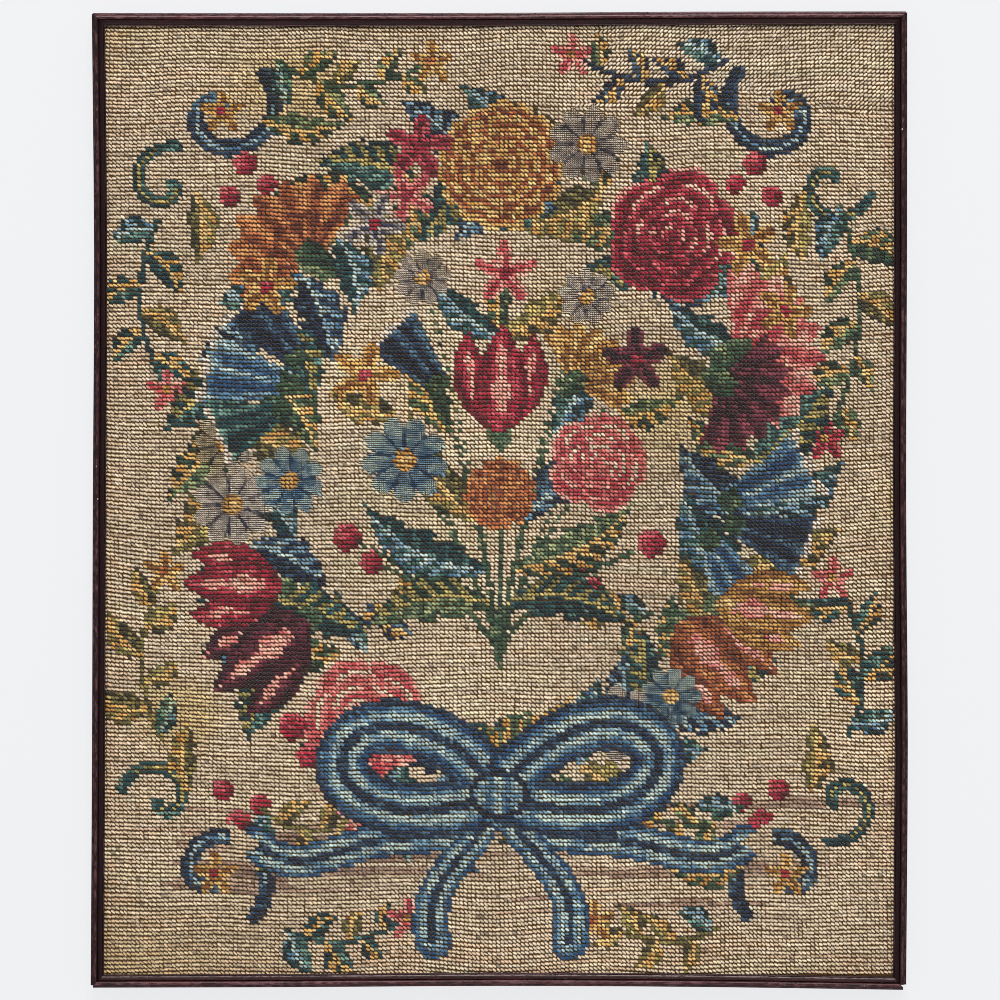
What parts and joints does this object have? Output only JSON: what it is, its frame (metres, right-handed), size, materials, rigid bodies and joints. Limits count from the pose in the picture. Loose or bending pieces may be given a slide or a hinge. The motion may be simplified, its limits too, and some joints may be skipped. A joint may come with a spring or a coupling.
{
  "type": "framed needlepoint canvas panel",
  "caption": "Flat needlepoint canvas worked all over in wool tent stitch with a floral design, held in the rebate of a narrow mitred reeded wooden frame, for hanging on a wall or laying flat.",
  "frame": {"origin": "middle of the panel's flat back, on the surface that it lies on", "axes": "+Z out of the worked face, +Y towards the top of the design, +X to its right"},
  "size_m": [0.5096, 0.6102, 0.015],
  "materials": {
    "wool_canvas": "matte wool tent stitch in cream, blue, green, rose, crimson and gold",
    "mahogany": "dark polished mahogany, worn at the edges"
  },
  "bodies": {
    "root": {"canvas": "wool_canvas", "top_rail": "mahogany", "bottom_rail": "mahogany", "left_stile": "mahogany", "right_stile": "mahogany"}
  },
  "joints": []
}
